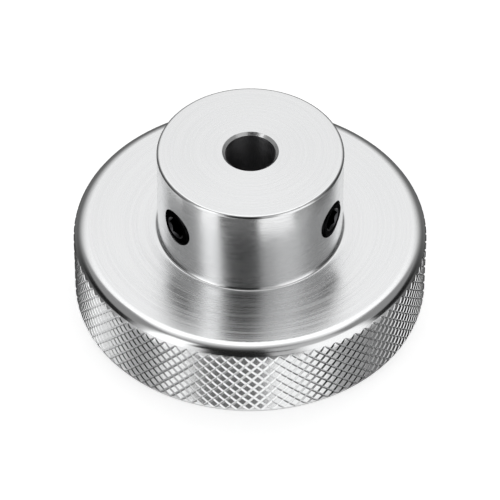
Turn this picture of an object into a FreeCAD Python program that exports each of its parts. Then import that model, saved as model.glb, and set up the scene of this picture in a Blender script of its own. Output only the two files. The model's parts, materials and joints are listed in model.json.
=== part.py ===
import FreeCAD, Part
import math
import os

# Machine handwheel: a knurled disc with a plain hub, turned from one bar of aluminium,
# and locked to its shaft by two hex-socket set screws in radial threaded holes of the hub.
# Lengths are in millimetres and angles in degrees.
# The origin is the centre of the back face, and +Z runs along the bore towards the hub.

# Rim
RIM_DIAMETER = 45.0
RIM_THICKNESS = 11.9
RIM_ROUND = 1.85

# Hub, standing on the rim's front face
HUB_DIAMETER = 23.5
HUB_HEIGHT = 12.7
HUB_CHAMFER = 0.4
HUB_ROOT_CHAMFER = 0.25

# Shaft bore, right through
BORE_DIAMETER = 6.35
BORE_CHAMFER = 0.4

# Cross knurl: two crossing sets of V grooves that leave flat-topped diamonds
KNURL_PITCH = 1.6
KNURL_AXIAL_PITCH = 1.65
KNURL_DEPTH = 0.25
KNURL_FLAT_SHARE = 0.54

# Set screws, each in a threaded hole at the middle of the hub's height.
# Their azimuths are counted from +X. Flush with the hub, each tip is set back from the bore's wall.
SCREW_AZIMUTHS = {"set_screw_left": -146.8, "set_screw_right": -33.2}
THREAD_DIAMETER = 5.0
THREAD_CLEARANCE = 0.05
TIP_SETBACK = 0.575
TIP_CHAMFER = 0.7
SOCKET_WIDTH = 2.5
SOCKET_DEPTH = 3.0

UP = FreeCAD.Vector(0, 0, 1)
ALONG = FreeCAD.Vector(1, 0, 0)
ORIGIN = FreeCAD.Vector(0, 0, 0)

rim_radius = RIM_DIAMETER / 2
hub_radius = HUB_DIAMETER / 2
bore_radius = BORE_DIAMETER / 2
hub_top = RIM_THICKNESS + HUB_HEIGHT
screw_height = RIM_THICKNESS + HUB_HEIGHT / 2

# The rim has one strip to each tooth, half a tooth either side of its middle.
teeth = round(math.pi * RIM_DIAMETER / KNURL_PITCH)
half_tooth = math.pi / teeth
half_flat = half_tooth * KNURL_FLAT_SHARE

# The grooves die out in the edge rounds, where a round has come in by the knurl's depth.
root_radius = rim_radius - KNURL_DEPTH
run_out = math.sqrt(RIM_ROUND**2 - (RIM_ROUND - KNURL_DEPTH) ** 2)
knurl_low = RIM_ROUND - run_out
knurl_high = RIM_THICKNESS - knurl_low
rows = 2 * round((knurl_high - knurl_low) / KNURL_AXIAL_PITCH)
row_height = (knurl_high - knurl_low) / rows


def point(radius, angle, height):
    """A point in cylindrical coordinates, with its angle in radians from +X."""
    return FreeCAD.Vector(radius * math.cos(angle), radius * math.sin(angle), height)


def facet(*corners):
    """A flat face through its corners."""
    return Part.Face(Part.makePolygon([*corners, corners[0]]))


def all_round(faces, turn=0):
    """Copies of one tooth's faces at every tooth, all turned by so many half teeth."""
    angles = [math.degrees((2 * tooth + turn) * half_tooth) for tooth in range(teeth)]
    return [face.rotated(ORIGIN, UP, angle) for angle in angles for face in faces]


def tip_reach():
    """How far a flat top reaches above and below its middle, so that its four walls are flat."""
    corner = point(root_radius, half_tooth, 0)
    crossing = point(root_radius, 0, row_height)
    normal = (crossing - corner).cross(point(rim_radius, half_flat, 0) - corner)
    return (normal.dot(corner) - normal.x * rim_radius * math.cos(half_flat)) / normal.z


def diamond(row):
    """One diamond, centred on +X: its flat top and the walls of the four grooves round it."""
    middle = knurl_low + row * row_height
    reach = tip_reach()
    sides = [point(rim_radius, turn * half_flat, middle) for turn in (1, -1)]
    corners = [point(root_radius, turn * half_tooth, middle) for turn in (1, -1)]
    walls, tips = [], []
    for way in (1, -1):
        crossing = point(root_radius, 0, middle + way * row_height)
        if row + way in (0, rows):
            tips.append(crossing)
            walls += [facet(corner, crossing, side) for corner, side in zip(corners, sides)]
        else:
            tip = point(rim_radius * math.cos(half_flat), 0, middle + way * reach)
            tips.append(tip)
            walls += [facet(corner, crossing, tip, side) for corner, side in zip(corners, sides)]
    if row in (1, rows - 1):
        return walls + [facet(*sides, tip) for tip in tips]
    return walls + [facet(sides[0], tips[0], sides[1], tips[1])]


def last_spike(end, way):
    """Where the grooves die out, centred on +X: the spike of the edge round between two of them.

    Each groove narrows towards its end, so the spike's tip lies a little short of the crossing below it.
    """
    groove_share = 1 - KNURL_FLAT_SHARE
    short_of = (math.sqrt(1 + 4 * groove_share**2) - 1) / (2 * groove_share)
    fall = (1 - short_of) * row_height
    inset = RIM_ROUND - math.sqrt(RIM_ROUND**2 - (run_out - fall) ** 2)
    tip = point(rim_radius - inset, 0, end + way * fall)
    crossing = point(root_radius, 0, end + way * row_height)
    left, right = [point(root_radius, turn * half_tooth, end) for turn in (-1, 1)]
    return [facet(tip, left, right), facet(crossing, tip, left), facet(crossing, tip, right)]


def knurl():
    """The whole knurl, each row turned by half a tooth from the next."""
    faces = all_round(last_spike(knurl_low, 1) + last_spike(knurl_high, -1))
    for row in range(1, rows):
        faces += all_round(diamond(row), row % 2)
    return faces


def edge_round(face_height, way):
    """One tooth's strip of an edge round, centred on +X, between the arcs at its two sides."""
    arcs = []
    for turn in (-1, 1):
        centre = point(rim_radius - RIM_ROUND, turn * half_tooth, face_height - way * RIM_ROUND)
        start = point(root_radius, turn * half_tooth, face_height - way * knurl_low)
        end = centre + UP * way * RIM_ROUND
        halfway = centre + ((start + end) / 2 - centre).normalize() * RIM_ROUND
        arcs.append(Part.Arc(start, halfway, end).toShape())
    return [Part.makeRuledSurface(*arcs)]


def rim():
    """The knurled disc, before its hub and holes."""
    flat_radius = rim_radius - RIM_ROUND
    back = facet(*[point(flat_radius, (2 * tooth + 1) * half_tooth, 0) for tooth in range(teeth)])
    flats = [back, back.translated(UP * RIM_THICKNESS)]
    rounds = edge_round(0, -1) + edge_round(RIM_THICKNESS, 1)
    return Part.makeSolid(Part.makeShell(knurl() + all_round(rounds) + flats))


def turned(*outline):
    """A solid of revolution about Z from its half section, given as radius and height."""
    corners = [point(radius, 0, height) for radius, height in outline]
    return facet(*corners).revolve(ORIGIN, UP, 360)


def hub():
    return turned(
        (0, RIM_THICKNESS),
        (hub_radius + HUB_ROOT_CHAMFER, RIM_THICKNESS),
        (hub_radius, RIM_THICKNESS + HUB_ROOT_CHAMFER),
        (hub_radius, hub_top - HUB_CHAMFER),
        (hub_radius - HUB_CHAMFER, hub_top),
        (0, hub_top),
    )


def bore():
    return turned(
        (0, 0),
        (bore_radius + BORE_CHAMFER, 0),
        (bore_radius, BORE_CHAMFER),
        (bore_radius, hub_top - BORE_CHAMFER),
        (bore_radius + BORE_CHAMFER, hub_top),
        (0, hub_top),
    )


def screw_hole(azimuth):
    """A threaded hole of the hub at its major diameter, from the bore outwards."""
    outwards = point(1, math.radians(azimuth), 0)
    return Part.makeCylinder(THREAD_DIAMETER / 2, HUB_DIAMETER, UP * screw_height, outwards)


def knurled_wheel():
    wheel = rim().fuse(hub()).cut(bore())
    for azimuth in SCREW_AZIMUTHS.values():
        wheel = wheel.cut(screw_hole(azimuth))
    return wheel


def set_screw(azimuth):
    """A hex-socket set screw with a chamfered flat point, its socket flush with the hub's wall."""
    radius = THREAD_DIAMETER / 2 - THREAD_CLEARANCE
    tip = bore_radius + TIP_SETBACK
    outline = [
        (tip, 0),
        (tip, radius - TIP_CHAMFER),
        (tip + TIP_CHAMFER, radius),
        (hub_radius, radius),
        (hub_radius, 0),
    ]
    section = facet(*[FreeCAD.Vector(along, 0, out) for along, out in outline])
    socket_corner = SOCKET_WIDTH / math.sqrt(3)
    hexagon = [
        FreeCAD.Vector(hub_radius, socket_corner * math.cos(turn), socket_corner * math.sin(turn))
        for turn in (side * math.pi / 3 for side in range(6))
    ]
    socket = facet(*hexagon).extrude(ALONG * -SOCKET_DEPTH)
    screw = section.revolve(ORIGIN, ALONG, 360).cut(socket)
    return screw.rotated(ORIGIN, UP, azimuth).translated(UP * screw_height)


pieces = {"knurled_wheel": knurled_wheel()}
for name, azimuth in SCREW_AZIMUTHS.items():
    pieces[name] = set_screw(azimuth)

os.makedirs("parts", exist_ok=True)
for name, solid in pieces.items():
    solid.exportStep(f"parts/{name}.step")
    print(name, "volume", round(solid.Volume, 1), "mm3, valid", solid.isValid())
print("teeth", teeth, "rows", rows, "axial pitch", round(2 * row_height, 3))
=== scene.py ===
# %% [markdown]
# # A knurled machine handwheel
# The object is a small handwheel turned from one bar of aluminium. A knurled disc gives the fingers
# grip, a plain hub stands on it, and two black hex-socket set screws in the hub lock it to a shaft.
# The solid model is loaded first, as a fixed frame. Each piece made here takes its place from it.

# %% Load the solid model
import json
import math

import bmesh
import bpy
from mathutils import Matrix, Quaternion, Vector


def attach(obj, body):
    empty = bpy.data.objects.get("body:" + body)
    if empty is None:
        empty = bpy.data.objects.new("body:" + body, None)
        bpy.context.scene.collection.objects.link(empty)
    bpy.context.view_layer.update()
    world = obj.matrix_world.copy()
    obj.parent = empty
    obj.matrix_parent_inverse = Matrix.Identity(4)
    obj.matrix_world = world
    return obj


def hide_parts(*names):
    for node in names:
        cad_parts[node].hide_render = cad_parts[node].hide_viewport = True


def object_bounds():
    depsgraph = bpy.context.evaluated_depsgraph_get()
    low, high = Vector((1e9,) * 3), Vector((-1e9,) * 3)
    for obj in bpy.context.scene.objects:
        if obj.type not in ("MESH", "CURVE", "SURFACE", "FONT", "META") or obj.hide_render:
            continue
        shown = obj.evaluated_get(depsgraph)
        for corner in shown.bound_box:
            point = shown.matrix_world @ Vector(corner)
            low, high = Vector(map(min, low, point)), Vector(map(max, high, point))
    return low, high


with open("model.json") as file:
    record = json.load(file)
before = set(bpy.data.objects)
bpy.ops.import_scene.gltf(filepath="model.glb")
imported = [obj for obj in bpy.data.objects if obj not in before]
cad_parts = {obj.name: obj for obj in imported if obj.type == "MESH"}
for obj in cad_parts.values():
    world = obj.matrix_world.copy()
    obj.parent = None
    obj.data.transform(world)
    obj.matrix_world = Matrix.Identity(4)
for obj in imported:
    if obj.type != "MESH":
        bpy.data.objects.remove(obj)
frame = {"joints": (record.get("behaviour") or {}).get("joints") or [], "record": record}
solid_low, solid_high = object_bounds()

print("solid model, in mm:", [round(1000 * side, 2) for side in solid_high - solid_low])

# %% [markdown]
# ## Sizes
# A drawing of a part this small is in millimetres, so the shapes are worked out in millimetres too,
# and each finished mesh is scaled to metres once. What the record or the solids already know, such as
# the bore, is read from them, so that both models agree. Points closer than `MERGE` are one point, and
# a point within `HAIR` of a face lies on it.

# %% Sizes in millimetres
METRES = 0.001
RIM_RADIUS = solid_high.x / METRES
RIM_THICKNESS = 11.9
RIM_ROUND = 1.85
HUB_RADIUS = 11.75
HUB_TOP = solid_high.z / METRES
EDGE_ROUND = 0.4
ROOT_FILLET = 0.4
BORE_CHAMFER = 0.38
BORE_CHAMFER_DEPTH = 0.31
BORE_RADIUS = next(m["dims"]["r_mm"] for m in frame["record"]["mounts"] if m["name"] == "shaft_bore")
SCREW_HEIGHT = (RIM_THICKNESS + HUB_TOP) / 2
SCREW_JOINTS = {joint["child"]: joint for joint in frame["joints"]}
MERGE = 0.001
HAIR = 0.01
print("hub top", round(HUB_TOP, 2), "bore radius", BORE_RADIUS)

# %% [markdown]
# ## The knurl
# A knurl is two crossing sets of V grooves, which leave flat-topped diamonds. A bump map could only
# shade it. A boolean with some two hundred helical cutters would be slow and fragile. Here one
# tooth is drawn flat, like a paper pattern: a strip is cut along every groove line, so that each crease
# has real edges, and then each point is pushed in and wrapped round the wheel.

# %% Knurl sizes, with each row's height halved, as the rows interlock
TEETH = 96
HALF_ROW = 0.797
GROOVE_DEPTH = 0.175
GROOVE_HALF_WIDTH = 0.175
CREST_SOFTNESS = 0.008
COLUMN_LEAN = math.tan(math.radians(4.1))
FIRST_TOOTH = math.radians(-92.6)
ROUND_STEP = 9

pitch = 2 * math.pi * RIM_RADIUS / TEETH
run_out = math.sqrt(RIM_ROUND**2 - (RIM_ROUND - GROOVE_DEPTH) ** 2)
knurl_low = RIM_ROUND - run_out
knurl_high = RIM_THICKNESS - knurl_low
groove_spacing = 1 / math.hypot(1 / pitch, 1 / (2 * HALF_ROW))
print("tooth pitch", round(pitch, 3), "groove spacing", round(groove_spacing, 3))

# %% [markdown]
# The rim's own outline is a cylinder between two edge rounds. A groove's floor has one depth below the
# cylinder, so it dies out where the round comes in as far: the surface is simply the deeper of the two.

# %% How far out the rim reaches, and how deep a groove is


def outline_radius(height):
    """The rim's radius; rounded, so that a height just past a face gives no negative root."""
    from_face = round(min(height, RIM_THICKNESS - height), 5)
    into_round = max(RIM_ROUND - from_face, 0)
    return RIM_RADIUS - RIM_ROUND + math.sqrt(RIM_ROUND**2 - into_round**2)


def groove_radius(across, height):
    rows_down = (knurl_high - height) / (2 * HALF_ROW)
    turns = [across / pitch + rows_down, across / pitch - rows_down]
    to_groove = min(abs(turn - round(turn)) for turn in turns) * groove_spacing
    below_crest = GROOVE_DEPTH * (1 - to_groove / GROOVE_HALF_WIDTH)
    return RIM_RADIUS - (below_crest + math.hypot(below_crest, CREST_SOFTNESS)) / 2


def left_by_groove(across, height):
    """Positive where the edge round lies deeper than the groove."""
    return groove_radius(across, height) - outline_radius(height)


# %% [markdown]
# `bisect_plane` cuts a flat mesh along a straight line. The levels come first: the rows' own, and those
# that make the rounds round. Then come both sets of groove lines: the bottom of each V and the two
# sides of its softened edges, which reach one and a half times the softness either way.

# %% Cut one tooth's strip


def cut_strip(strip, at, across, faces=None):
    faces = strip.faces[:] if faces is None else faces
    parts = {part for face in faces for part in (face, *face.edges, *face.verts)}
    bmesh.ops.bisect_plane(strip, geom=list(parts), dist=MERGE / 10, plane_co=at, plane_no=across)


def knurled_faces(strip):
    return [f for f in strip.faces if knurl_low < f.calc_center_median().y < knurl_high]


def tooth_strip():
    strip = bmesh.new()
    corners = [(-pitch / 2, 0), (pitch / 2, 0), (pitch / 2, RIM_THICKNESS), (-pitch / 2, RIM_THICKNESS)]
    strip.faces.new([strip.verts.new((x, y, 0)) for x, y in corners])
    cut_strip(strip, (0, 0, 0), (1, 0, 0))
    turns = [math.radians(turn) for turn in range(ROUND_STEP, 91, ROUND_STEP)]
    round_levels = [RIM_ROUND * (1 - math.cos(turn)) for turn in turns]
    rows = int(RIM_THICKNESS / HALF_ROW)
    levels = [knurl_low] + [knurl_high - row * HALF_ROW for row in range(rows)]
    levels += round_levels + [RIM_THICKNESS - level for level in round_levels]
    for level in levels:
        cut_strip(strip, (0, level, 0), (0, 1, 0))
    softened = 1.5 * CREST_SOFTNESS * GROOVE_HALF_WIDTH / GROOVE_DEPTH
    offsets = [0] + [side * (GROOVE_HALF_WIDTH + way * softened) for side in (-1, 1) for way in (-1, 1)]
    for lean in (-1, 1):
        direction = Vector((1 / pitch, lean / (2 * HALF_ROW), 0)).normalized()
        for line in range(-rows, rows + 1):
            for offset in offsets:
                at = Vector((line * pitch, knurl_high, 0)) + direction * offset
                cut_strip(strip, at, direction, knurled_faces(strip))
    return strip


strip = tooth_strip()
print("one tooth's strip:", len(strip.faces), "faces")

# %% [markdown]
# The zigzag where the grooves end is a crease as well. Each edge that it crosses is split there, and the
# new points are joined, so the zigzag is as crisp as the groove edges.

# %% Cut the strip along the zigzag, push it in and wrap it


def cut_zigzag(strip):
    splits = []
    for edge in strip.edges[:]:
        start, end = edge.verts
        before, after = left_by_groove(*start.co.xy), left_by_groove(*end.co.xy)
        if before * after < 0 and min(abs(before), abs(after)) > MERGE / 10:
            splits.append(bmesh.utils.edge_split(edge, start, before / (before - after))[1])
    bmesh.ops.connect_verts(strip, verts=splits)
    return len(splits)


def on_wheel(radius, across, height):
    """A point of the drawn strip, wrapped round the axis with the knurl's lean."""
    angle = FIRST_TOOTH + (across + (knurl_high - height) * COLUMN_LEAN) / RIM_RADIUS
    return radius * math.cos(angle), radius * math.sin(angle), height


def wrap(strip):
    for vert in strip.verts:
        across, height = vert.co.xy
        vert.co = on_wheel(min(outline_radius(height), groove_radius(across, height)), across, height)


print("zigzag points:", cut_zigzag(strip))
wrap(strip)

# %% [markdown]
# ## The turned body
# Everything else on the wheel is turned, so it is a half section spun round the axis. The same
# tooth-wide wedge carries it: the section is drawn at the wedge's two sides and its middle, joined to the
# knurl strip, and the whole wedge is copied all round. The copies' edges meet exactly, so merging the
# doubled points leaves one closed skin.

# %% The half section, from the front face's edge over the hub and through the bore


def quarter_round(radius, height, size, start, steps=6):
    """A quarter circle round a centre of the section, from a start angle in degrees, turning left."""
    turns = [math.radians(start + 90 * step / steps) for step in range(steps + 1)]
    return [(radius + size * math.cos(turn), height + size * math.sin(turn)) for turn in turns]


def half_section():
    root = quarter_round(HUB_RADIUS + ROOT_FILLET, RIM_THICKNESS + ROOT_FILLET, ROOT_FILLET, 180)
    return [
        (RIM_RADIUS - RIM_ROUND, RIM_THICKNESS),
        (HUB_RADIUS + 2 * ROOT_FILLET, RIM_THICKNESS),
        *reversed(root),
        *quarter_round(HUB_RADIUS - EDGE_ROUND, HUB_TOP - EDGE_ROUND, EDGE_ROUND, 0),
        (BORE_RADIUS + BORE_CHAMFER, HUB_TOP),
        (BORE_RADIUS, HUB_TOP - BORE_CHAMFER_DEPTH),
        (BORE_RADIUS, BORE_CHAMFER_DEPTH),
        (BORE_RADIUS + BORE_CHAMFER, 0),
        (RIM_RADIUS - RIM_ROUND, 0),
    ]


def add_turned(wedge, section):
    """Adds one tooth's share of a turned skin to the wedge, with the knurl's lean."""
    columns = [
        [wedge.verts.new(on_wheel(radius, across, height)) for radius, height in section]
        for across in (-pitch / 2, 0, pitch / 2)
    ]
    for left, right in zip(columns, columns[1:]):
        for a, b, c, d in zip(left, right, right[1:], left[1:]):
            wedge.faces.new((a, b, c, d))


def all_round(wedge):
    bmesh.ops.spin(
        wedge,
        geom=wedge.verts[:] + wedge.edges[:] + wedge.faces[:],
        axis=(0, 0, 1),
        angle=2 * math.pi * (TEETH - 1) / TEETH,
        steps=TEETH - 1,
        use_duplicate=True,
    )
    bmesh.ops.remove_doubles(wedge, verts=wedge.verts, dist=MERGE)
    bmesh.ops.recalc_face_normals(wedge, faces=wedge.faces)


def to_object(shape, name):
    mesh = bpy.data.meshes.new(name)
    shape.to_mesh(mesh)
    shape.free()
    mesh.transform(Matrix.Scale(METRES, 4))
    made = bpy.data.objects.new(name, mesh)
    bpy.context.collection.objects.link(made)
    return made


add_turned(strip, half_section())
all_round(strip)
print("open edges of the wheel:", sum(not edge.is_manifold for edge in strip.edges))
wheel = to_object(strip, "wheel")

# %% [markdown]
# ## Threads
# A screw and its hole are cut with the same helix. One pitch of the thread's outline is drawn and spun
# round the axis with a small climb at each step, which gives a bar with real crests and roots. Cut out
# of the hub, the bar is a tap. A turned blank that is kept only where a bar is becomes a screw whose
# thread runs out cleanly at the chamfers. Both start at the same place, so they mesh with a small gap.

# %% A threaded bar along +X
THREAD_PITCH = 0.8
THREAD_RADIUS = 2.5
THREAD_GAP = 0.05
THREAD_DEPTH = 0.433
THREAD_TURNS = 18
BAR_SIDES = 64


def threaded_bar(crest):
    """A bar whose thread has flanks of 60 degrees, roots a quarter and crests an eighth of a pitch wide."""
    bar = bmesh.new()
    outline = [(0, THREAD_DEPTH), (0.25, THREAD_DEPTH), (0.5625, 0), (0.6875, 0), (1, THREAD_DEPTH)]
    points = [bar.verts.new((share * THREAD_PITCH, crest - depth, 0)) for share, depth in outline]
    edges = [bar.edges.new(pair) for pair in zip(points, points[1:])]
    bmesh.ops.spin(
        bar,
        geom=points + edges,
        axis=(1, 0, 0),
        dvec=(THREAD_PITCH / BAR_SIDES, 0, 0),
        angle=2 * math.pi * THREAD_TURNS,
        steps=BAR_SIDES * THREAD_TURNS,
    )
    bmesh.ops.remove_doubles(bar, verts=bar.verts, dist=MERGE)
    ends = bmesh.ops.holes_fill(bar, edges=[edge for edge in bar.edges if edge.is_boundary])
    bmesh.ops.triangulate(bar, faces=ends["faces"])
    bmesh.ops.recalc_face_normals(bar, faces=bar.faces)
    return bar


bar = threaded_bar(THREAD_RADIUS)
print("open edges of the tap:", sum(not edge.is_manifold for edge in bar.edges))
bar.free()

# %% [markdown]
# A Boolean modifier adds, keeps or cuts away what two closed skins share. It is applied at once, by
# copying the evaluated mesh, and the tool is thrown away.

# %% Cut with a tool, and put a shape where its screw goes
MOUTH_DEPTH = 0.9


def turned_along_x(*section, sides=BAR_SIDES):
    shape = bmesh.new()
    points = [shape.verts.new((along, radius, 0)) for along, radius in section]
    edges = [shape.edges.new(pair) for pair in zip(points, points[1:])]
    bmesh.ops.spin(shape, geom=points + edges, axis=(1, 0, 0), angle=2 * math.pi, steps=sides)
    bmesh.ops.remove_doubles(shape, verts=shape.verts, dist=MERGE)
    bmesh.ops.recalc_face_normals(shape, faces=shape.faces)
    return shape


def hole_mouth():
    """The clear mouth of a threaded hole, where the thread is relieved to its full width."""
    start, beyond = HUB_RADIUS - MOUTH_DEPTH, HUB_RADIUS + 1
    return turned_along_x((start, 0), (start, THREAD_RADIUS), (beyond, THREAD_RADIUS), (beyond, 0))


def carve(piece, tool, operation="DIFFERENCE"):
    modifier = piece.modifiers.new("carve", "BOOLEAN")
    modifier.operation = operation
    modifier.solver = "MANIFOLD"
    modifier.object = tool
    evaluated = piece.evaluated_get(bpy.context.evaluated_depsgraph_get())
    carved = bpy.data.meshes.new_from_object(evaluated)
    piece.modifiers.clear()
    piece.data = carved
    bpy.data.objects.remove(tool)
    print(piece.name, "now has", len(carved.polygons), "faces")


def place_at_screw(shape, joint):
    out = Vector(joint["axis"])
    turn = Matrix.Rotation(math.atan2(out.y, out.x), 4, "Z")
    shape.transform(Matrix.Translation((0, 0, SCREW_HEIGHT)) @ turn)
    return shape


for body, joint in SCREW_JOINTS.items():
    carve(wheel, to_object(place_at_screw(threaded_bar(THREAD_RADIUS), joint), f"tap_{body}"))
    carve(wheel, to_object(place_at_screw(hole_mouth(), joint), f"mouth_{body}"))

# %% [markdown]
# ## The set screws
# A set screw has no head. Its blank is turned, with a flat point and a chamfer at each end, a hexagon
# socket is cut in its outer face, and the thread covers its whole length.

# %% A set screw
SOCKET_WIDTH = 2.5
SOCKET_DEPTH = 3.0
SOCKET_POINT = 0.4
SOCKET_MOUTH = 1.52
TIP_SETBACK = 0.575
SCREW_TIP = BORE_RADIUS + TIP_SETBACK
TIP_CHAMFER = 0.7
FACE_CHAMFER = 0.3


def screw_blank():
    radius = THREAD_RADIUS - THREAD_GAP
    return turned_along_x(
        (SCREW_TIP, 0),
        (SCREW_TIP, radius - TIP_CHAMFER),
        (SCREW_TIP + TIP_CHAMFER, radius),
        (HUB_RADIUS - FACE_CHAMFER, radius),
        (HUB_RADIUS, radius - FACE_CHAMFER),
        (HUB_RADIUS, 0),
    )


def socket_prism():
    corner = SOCKET_WIDTH / math.sqrt(3)
    floor = HUB_RADIUS - SOCKET_DEPTH
    beyond = HUB_RADIUS + 1
    return turned_along_x((floor - SOCKET_POINT, 0), (floor, corner), (beyond, corner), (beyond, 0), sides=6)


def socket_mouth():
    """A cone of 45 degrees that comes out of the screw's face as wide as the mouth."""
    tip, beyond = HUB_RADIUS - SOCKET_MOUTH, HUB_RADIUS + 0.5
    return turned_along_x((tip, 0), (beyond, beyond - tip), (beyond, 0))


def set_screw(joint):
    screw = to_object(place_at_screw(screw_blank(), joint), joint["child"])
    thread = threaded_bar(THREAD_RADIUS - THREAD_GAP)
    carve(screw, to_object(place_at_screw(thread, joint), "bar"), "INTERSECT")
    for cutter in (socket_prism, socket_mouth):
        carve(screw, to_object(place_at_screw(cutter(), joint), "cutter"))
    return screw


screws = {body: set_screw(joint) for body, joint in SCREW_JOINTS.items()}


# %% [markdown]
# ## Shading by angle
# Smooth shading blends the light across faces that meet at a small angle, and a crease stays sharp
# above the limit. Plain smoothing would make each diamond of the knurl look like a dome, because the
# softened edges round it would pull at its corners. A diamond is flat, so here only the large faces
# round a point decide its normal, and the narrow faces between them carry the whole turn.

# %% Normals from the large faces
CREASE = math.radians(30)
LARGE_SHARE = 0.2


def shade_by_large_faces(mesh):
    mesh.shade_smooth()
    normals = [face.normal.copy() for face in mesh.polygons]
    areas = [face.area for face in mesh.polygons]
    round_point = [[] for vertex in mesh.vertices]
    for face in mesh.polygons:
        for vertex in face.vertices:
            round_point[vertex].append(face.index)
    shown = []
    for face in mesh.polygons:
        for vertex in face.vertices:
            here = round_point[vertex]
            near = [other for other in here if normals[other].dot(face.normal) > math.cos(CREASE)]
            limit = LARGE_SHARE * max(areas[other] for other in near)
            large = [normals[other] for other in near if areas[other] > limit]
            shown.append(sum(large, Vector()).normalized())
    mesh.normals_split_custom_set(shown)
    print(len(shown), "normals set")


for piece in (wheel, *screws.values()):
    shade_by_large_faces(piece.data)

# %% [markdown]
# ## Writing shaders as sums
# A node tree is hard to read as code, so one small class wraps an output socket and lets Python's own
# operators add the Math nodes. Any other node comes from one method, which sets the node's options first
# and then its inputs.

# %% Sockets to calculate with


class Signal:
    """A number or colour on its way through a node tree."""

    def __init__(self, nodes, socket):
        self.nodes = nodes
        self.socket = socket

    def maths(self, operation, *values):
        return self.nodes.add("ShaderNodeMath", {"operation": operation}, dict(enumerate(values)))

    def __add__(self, other):
        return self.maths("ADD", self, other)

    def __sub__(self, other):
        return self.maths("SUBTRACT", self, other)

    def __rsub__(self, other):
        return self.maths("SUBTRACT", other, self)

    def __mul__(self, other):
        return self.maths("MULTIPLY", self, other)

    def __truediv__(self, other):
        return self.maths("DIVIDE", self, other)

    __radd__ = __add__
    __rmul__ = __mul__

    def step(self, start, end, low=0.0, high=1.0):
        """Rises smoothly from low to high while the signal goes from start to end."""
        ends = {"From Min": start, "From Max": end, "To Min": low, "To Max": high}
        smooth = {"interpolation_type": "SMOOTHSTEP"}
        return self.nodes.add("ShaderNodeMapRange", smooth, {"Value": self, **ends})

    def band(self, start, end, soft):
        """One between start and end, zero outside, with soft borders."""
        return self.step(start - soft, start + soft) * self.step(end - soft, end + soft, 1.0, 0.0)


def mix(first, second, share):
    return first * (1 - share) + second * share


class Nodes:
    """The node tree of a finish or of the studio's world."""

    def __init__(self, owner):
        owner.use_nodes = True
        self.tree = owner.node_tree
        self.tree.nodes.clear()

    def add(self, kind, settings=None, inputs=None, output=0):
        node = self.tree.nodes.new(kind)
        for name, setting in (settings or {}).items():
            setattr(node, name, setting)
        for name, value in (inputs or {}).items():
            if isinstance(value, Signal):
                self.tree.links.new(value.socket, node.inputs[name])
            else:
                node.inputs[name].default_value = value
        return Signal(self, node.outputs[output] if node.outputs else None)

    def parts(self, vector):
        apart = self.add("ShaderNodeSeparateXYZ", inputs={"Vector": vector})
        return [Signal(self, socket) for socket in apart.socket.node.outputs]

    def place(self):
        """Where a point is on the object, in millimetres."""
        where = self.add("ShaderNodeTexCoord", output="Object")
        return self.add("ShaderNodeVectorMath", {"operation": "SCALE"}, {0: where, "Scale": 1 / METRES})


# %% [markdown]
# ## What a lathe leaves on aluminium
# A lathe tool leaves a very fine spiral. On a face it looks like rings and on a wall like level lines, and
# both are drawn out round the axis. So the noise is sampled with the direction from the axis, which
# changes slowly, and with the distance along the section, which changes fast. As the direction is a
# point on a circle, the noise has no seam. A Bump node turns it into ridges. Nearly all of a noise lies
# between 0.3 and 0.7, and that span is spread over the finish's roughness.

# %% Metals and turning marks
BRIGHT_ALUMINIUM = (0.86, 0.865, 0.87, 1)
# A darker aluminium that paints the shade inside the bore and the screw holes
SHADED_BORE_ALUMINIUM = (0.36, 0.36, 0.37, 1)
WHITE = (1, 1, 1, 1)
ACROSS_THE_MARKS = 0.25


def new_finish(name):
    material = bpy.data.materials.new(name)
    return material, Nodes(material)


def metal(nodes, roughness, height, ridge, colour=BRIGHT_ALUMINIUM, anisotropy=0.0, grazing=WHITE):
    """Metal with ridges so many millimetres high; anisotropy blurs reflections across the marks."""
    relief = {"Height": height, "Strength": 1.0, "Distance": ridge * METRES}
    bump = nodes.add("ShaderNodeBump", inputs=relief)
    inputs = {"Base Color": colour, "Metallic": 1.0, "Roughness": roughness, "Normal": bump}
    inputs |= {"Anisotropic": anisotropy, "Anisotropic Rotation": ACROSS_THE_MARKS, "Specular Tint": grazing}
    shader = nodes.add("ShaderNodeBsdfPrincipled", inputs=inputs)
    nodes.add("ShaderNodeOutputMaterial", inputs={"Surface": shader})


def section_place(nodes):
    """The direction from the axis, as two numbers, the distance from it and the height."""
    x, y, z = nodes.parts(nodes.place())
    radius = nodes.add("ShaderNodeMath", {"operation": "SQRT"}, {0: x * x + y * y})
    return x / radius, y / radius, radius, z


def marks(nodes, right, back, along, spacing, streaks, detail=2.0):
    """Noise with one change to each spacing along the section, and so many streaks round it."""
    where = nodes.add(
        "ShaderNodeCombineXYZ", inputs={"X": right * streaks, "Y": back * streaks, "Z": along / spacing}
    )
    return nodes.add("ShaderNodeTexNoise", inputs={"Vector": where, "Scale": 1.0, "Detail": detail})


def grains(nodes, scale, detail=4.0):
    """Noise with so many grains to the millimetre and no direction."""
    return nodes.add("ShaderNodeTexNoise", inputs={"Vector": nodes.place(), "Scale": scale, "Detail": detail})


# %% [markdown]
# The faces of the disc and hub mirror the room softly, in long rings. The hub's wall is a little
# shinier, with short brushed lines from polishing it on the lathe.

# %% Faces and wall


def faced_aluminium():
    material, nodes = new_finish("faced_aluminium")
    right, back, radius, _ = section_place(nodes)
    rings = marks(nodes, right, back, radius, 0.2, 0.7)
    metal(nodes, rings.step(0.3, 0.7, 0.21, 0.3), rings, 0.003, anisotropy=0.5)
    return material


def turned_wall():
    material, nodes = new_finish("turned_wall")
    right, back, _, z = section_place(nodes)
    brushed = marks(nodes, right, back, z, 0.14, 8.0, detail=4.0)
    metal(nodes, brushed.step(0.35, 0.65, 0.12, 0.24), brushed, 0.01, anisotropy=0.3)
    return material
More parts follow.
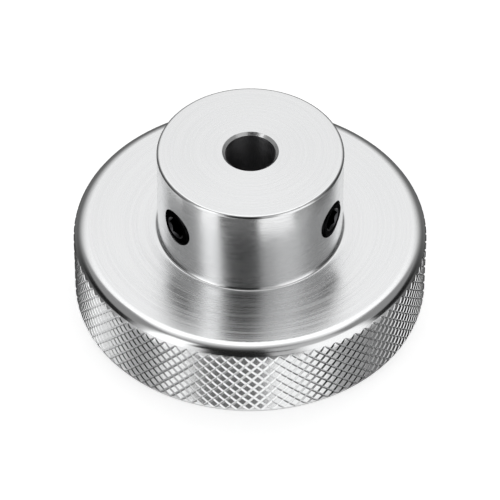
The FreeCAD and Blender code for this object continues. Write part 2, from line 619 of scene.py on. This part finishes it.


# %% [markdown]
# The knurl is pressed or cut, not turned, so its marks have no direction. The edge rounds are polished.
# The bore and the screw holes are drilled and duller; their darker colour is painted shade of their depths.

# %% Knurl, edge rounds and holes


def knurled_aluminium():
    material, nodes = new_finish("knurled_aluminium")
    grain = grains(nodes, 4.0, detail=3.0)
    metal(nodes, grain.step(0.3, 0.7, 0.15, 0.25), grain, 0.008)
    return material


def polished_round():
    material, nodes = new_finish("polished_round")
    right, back, _, z = section_place(nodes)
    rings = marks(nodes, right, back, z, 0.15, 3.0)
    metal(nodes, rings.step(0.3, 0.7, 0.12, 0.18), rings, 0.0005, anisotropy=0.3)
    return material


def drilled_aluminium():
    material, nodes = new_finish("drilled_aluminium")
    right, back, _, z = section_place(nodes)
    rings = marks(nodes, right, back, z, 0.3, 2.0)
    # The darker colour paints the shade inside the bore and the screw holes.
    metal(nodes, rings.step(0.3, 0.7, 0.34, 0.42), rings, 0.003, SHADED_BORE_ALUMINIUM, anisotropy=0.85)
    return material


# %% [markdown]
# A face of the mesh knows its middle and which way it looks, and that is enough to tell which finish it
# has: the knurl lies inside the rim's outline, faced areas lie at three heights, and so on.

# %% Give each face of the wheel its finish
FACE_LEVELS = (0, RIM_THICKNESS, HUB_TOP)


def finish_of(face):
    x, y, z = face.center / METRES
    radius = math.hypot(x, y)
    if radius > RIM_RADIUS - RIM_ROUND:
        in_knurl = knurl_low < z < knurl_high or radius < outline_radius(z) - 2 * HAIR
        return "knurled" if in_knurl else "polished"
    if min(abs(z - level) for level in FACE_LEVELS) < HAIR:
        return "faced"
    if radius > HUB_RADIUS - HAIR or not BORE_CHAMFER_DEPTH < z < HUB_TOP - BORE_CHAMFER_DEPTH:
        return "wall"
    return "hole"


wheel_finishes = {
    "faced": faced_aluminium(),
    "wall": turned_wall(),
    "knurled": knurled_aluminium(),
    "polished": polished_round(),
    "hole": drilled_aluminium(),
}
wheel.data.materials.clear()
for finish in wheel_finishes.values():
    wheel.data.materials.append(finish)
order = list(wheel_finishes)
for face in wheel.data.polygons:
    face.material_index = order.index(finish_of(face))
for name in order:
    print(name, sum(face.material_index == order.index(name) for face in wheel.data.polygons), "faces")

# %% [markdown]
# ## Black oxide
# The screws are steel turned black in a hot salt bath and then oiled. The layer is thin and hardly
# shines, even at a grazing angle. Where the key goes in, the edge of the socket is rubbed to steel.

# %% Black oxide and worn steel


def black_oxide():
    material, nodes = new_finish("black_oxide_steel")
    grain = grains(nodes, 5.0)
    sheen = grain.step(0.3, 0.7, 0.2, 0.34)
    metal(nodes, sheen, grain, 0.01, colour=(0.012, 0.012, 0.0125, 1), grazing=(0.4, 0.4, 0.4, 1))
    return material


def worn_steel():
    material, nodes = new_finish("worn_steel")
    rubbed = grains(nodes, 2.5)
    metal(nodes, rubbed.step(0.3, 0.7, 0.3, 0.4), rubbed, 0.01, colour=(0.1, 0.1, 0.105, 1))
    return material


def is_worn(face, out):
    """True for the slanted mouth of the socket, which lies round the screw's axis."""
    beside = face.center - out * face.center.dot(out) - Vector((0, 0, SCREW_HEIGHT * METRES))
    off_axis = math.degrees(face.normal.angle(out))
    return 30 < off_axis < 60 and beside.length < SOCKET_MOUTH * METRES


screw_finishes = black_oxide(), worn_steel()
for body, screw in screws.items():
    screw.data.materials.clear()
    for finish in screw_finishes:
        screw.data.materials.append(finish)
    for face in screw.data.polygons:
        face.material_index = is_worn(face, Vector(SCREW_JOINTS[body]["axis"]))
    print(body, sum(face.material_index for face in screw.data.polygons), "worn faces")

# %% [markdown]
# ## Riding and replacing
# Each piece rides on a body of the solid model, so it moves with it, and stands for the plain node of
# the same place. The record knows which node belongs to which body.

# %% Put the pieces on their bodies
nodes_of = frame["record"]["behaviour"]["bodies"]

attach(wheel, "wheel")
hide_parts(nodes_of["wheel"][0])
for body, screw in screws.items():
    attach(screw, body)
    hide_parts(nodes_of[body][0])

# %% [markdown]
# ## The camera
# The photograph was taken with a long lens from above the horizon. Distance and lens come from how the
# circles of the rim, hub and bore shrink with depth in it.

# %% Camera
CAMERA_AZIMUTH = -4.6
CAMERA_ELEVATION = 45.38
CAMERA_DISTANCE = 509.5
AIM_HEIGHT = 7.055
LENS = 286.46
CAMERA_ROLL = math.radians(0.25)

azimuth, elevation = math.radians(CAMERA_AZIMUTH), math.radians(CAMERA_ELEVATION)
towards_camera = Vector((math.sin(azimuth), -math.cos(azimuth), 0)) * math.cos(elevation)
towards_camera.z = math.sin(elevation)
camera = bpy.data.objects.new("camera", bpy.data.cameras.new("camera"))
bpy.context.collection.objects.link(camera)
camera.data.lens = LENS
camera.data.clip_start = 0.01
camera.location = (towards_camera * CAMERA_DISTANCE + Vector((0, 0, AIM_HEIGHT))) * METRES
level = towards_camera.to_track_quat("Z", "Y")
camera.rotation_euler = (level @ Quaternion((0, 0, 1), CAMERA_ROLL)).to_euler()
bpy.context.scene.camera = camera

# %% [markdown]
# ## The studio
# Bright metal shows hardly any colour of its own: it shows the room. The room here is a tent of pale
# cloth, open and dark where the camera looks in, and the world's shader paints it by direction. One
# number goes round the object from the camera, the other goes up from the horizon. A wall of the hub
# that looks a little aside mirrors a card twice as far aside, which makes its upright stripes. A
# rounded edge sweeps through all heights, which makes the rings. Each line below paints one more card
# over the room: first how bright it is, then where it hangs, in degrees.

# %% World
DEGREES = 180 / math.pi
FLOOR_LEVEL = -58
HORIZON = -4


def studio_world():
    world = bpy.data.worlds.new("studio")
    bpy.context.scene.world = world
    nodes = Nodes(world)
    direction = nodes.add("ShaderNodeTexCoord", output="Generated")
    turned = nodes.add(
        "ShaderNodeVectorRotate", {"rotation_type": "Z_AXIS"}, {"Vector": direction, "Angle": -azimuth}
    )
    right, back, up = nodes.parts(turned)
    around = nodes.add("ShaderNodeMath", {"operation": "ARCTAN2"}, {0: right, 1: 0 - back}) * DEGREES
    tall = nodes.add("ShaderNodeMath", {"operation": "ARCSINE"}, {0: up}) * DEGREES
    aside = nodes.add("ShaderNodeMath", {"operation": "ABSOLUTE"}, {0: around})

    def card(left, right, low, high, soft=4):
        """Its share of the room, between two angles round the object and two above the horizon."""
        return around.band(left, right, soft) * tall.band(low, high, 4)

    # The dark opening, the ceiling, brighter towards the back, and the back wall
    lit = mix(0.012, back.step(-0.55, 0.3, 0.12, 1.15), tall.step(46, 66))
    lit = mix(lit, tall.step(0, 72, 0.15, 1.35), aside.step(100, 140) * tall.step(-40, -20))
    # Both side walls, and the cloth between the opening and the right softbox
    lit = mix(lit, 0.27, aside.band(68, 125, 8) * tall.band(22, 62, 4))
    lit = mix(lit, 0.5, card(13, 66, 38, 62, soft=5))
    lit = mix(lit, 0.5, card(12, 32, 0, 32, soft=3))
    # The table: bright under the object, dark in front of it, lit again near the horizon
    lit = mix(lit, 0.75, tall.step(-72, -52, 1.0, 0.0))
    lit = mix(lit, 0.15, card(-110, 110, FLOOR_LEVEL, HORIZON, soft=8))
    lit = mix(lit, 0.38, card(-90, -66, FLOOR_LEVEL, HORIZON, soft=5))
    lit = mix(lit, 0.8, card(-130, -90, FLOOR_LEVEL, -32, soft=5))
    lit = mix(lit, 0.35, card(50, 86, FLOOR_LEVEL, HORIZON, soft=5))
    lit = mix(lit, 0.65, card(-72, -16, -26, HORIZON, soft=5))
    lit = mix(lit, 0.45, card(16, 90, -26, HORIZON, soft=5))
    # The right softbox and its mirror image in the table
    lit = mix(lit, 1.1, card(30, 72, -22, 38, soft=6))
    lit = mix(lit, 1.05, card(12, 56, -95, -22, soft=4))
    # The left softbox, brighter above, with its inner edge turned in below and its outer edge dim
    lit = mix(lit, 0.45, card(-70, -58, -60, 50))
    lit = mix(lit, 0.85, card(-42, -27, -34, 32))
    lit = mix(lit, 1.05, card(-61, -37, -95, 8, soft=4))
    lit = mix(lit, 1.3, card(-61, -37, 4, 54, soft=4))
    background = nodes.add("ShaderNodeBackground", inputs={"Color": (1, 1, 1, 1), "Strength": lit})
    nodes.add("ShaderNodeOutputWorld", inputs={"Surface": background})


studio_world()

# %% [markdown]
# The floor is white paper. Its soft contact shadow keeps the wheel on the ground. Bright metal would
# mirror its hard edge, so reflections do not see it and look through to the tent. Light from below
# would then shine up the bore, so a small near-black disc lies under the wheel as painted shade.

# %% Floor
bpy.context.scene.view_settings.view_transform = "Standard"
FLOOR_REACH = 3000
SHADE_DISC_RADIUS = 15
SHADE_DISC_DEPTH = 0.02


def sheet(name, reach, height, corners):
    """A flat sheet of the stage with so many corners, in millimetres."""
    mesh = bmesh.new()
    bmesh.ops.create_circle(mesh, cap_ends=True, radius=reach, segments=corners)
    bmesh.ops.translate(mesh, vec=(0, 0, height), verts=mesh.verts)
    made = to_object(mesh, name)
    material, nodes = new_finish(name)
    made.data.materials.append(material)
    return made, nodes


floor, nodes = sheet("pale_floor", FLOOR_REACH, -SHADE_DISC_DEPTH, 4)
paper = nodes.add("ShaderNodeBsdfDiffuse", inputs={"Color": (0.9, 0.9, 0.9, 1)})
glow = nodes.add("ShaderNodeEmission", inputs={"Color": (1, 1, 1, 1), "Strength": 0.6})
both = nodes.add("ShaderNodeAddShader", inputs={0: paper, 1: glow})
nodes.add("ShaderNodeOutputMaterial", inputs={"Surface": both})
floor.visible_glossy = False

# A near-black disc under the wheel: painted shade, seen from above up the bore.
_, nodes = sheet("dark_felt", SHADE_DISC_RADIUS, -SHADE_DISC_DEPTH / 2, 48)
dark = nodes.add("ShaderNodeBsdfDiffuse", inputs={"Color": (0.02, 0.02, 0.02, 1)})
nodes.add("ShaderNodeOutputMaterial", inputs={"Surface": dark})
